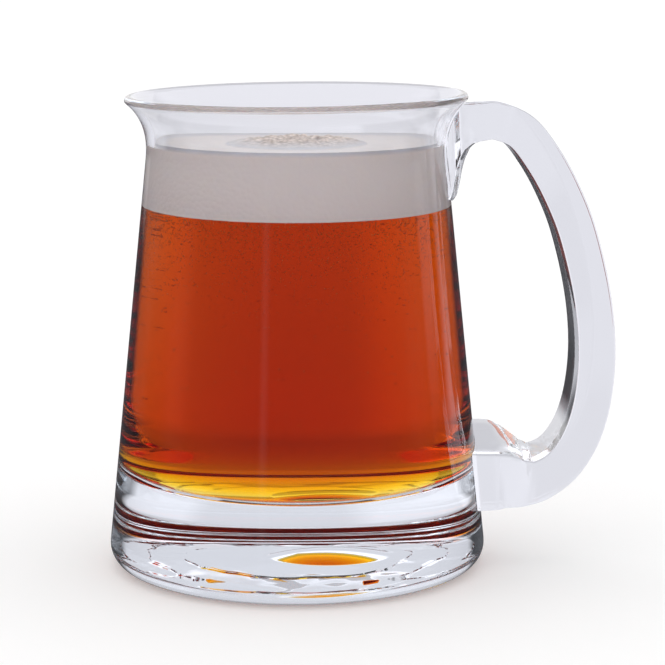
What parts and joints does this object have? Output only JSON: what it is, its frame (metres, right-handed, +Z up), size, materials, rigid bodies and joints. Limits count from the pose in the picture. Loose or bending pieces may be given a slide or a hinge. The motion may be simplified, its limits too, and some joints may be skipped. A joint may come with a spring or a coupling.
{
  "type": "glass tankard",
  "caption": "Clear hand-worked glass tankard with a thick base, narrowing wall, flared lip and an applied strap handle, filled with amber ale under a foam head.",
  "frame": {"origin": "on the table, under the middle of the whole object; the bowl's axis is 17.3 mm along -X from it", "axes": "+Z up along the bowl's axis, +X from the bowl to the handle, -Y towards the viewer of the picture"},
  "size_m": [0.138, 0.1034, 0.13],
  "materials": {
    "clear_glass": "polished",
    "amber_ale": "polished",
    "ale_foam": "matte"
  },
  "bodies": {
    "root": {"glass_body": "clear_glass", "handle": "clear_glass", "ale": "amber_ale", "foam_head": "ale_foam"}
  },
  "joints": []
}
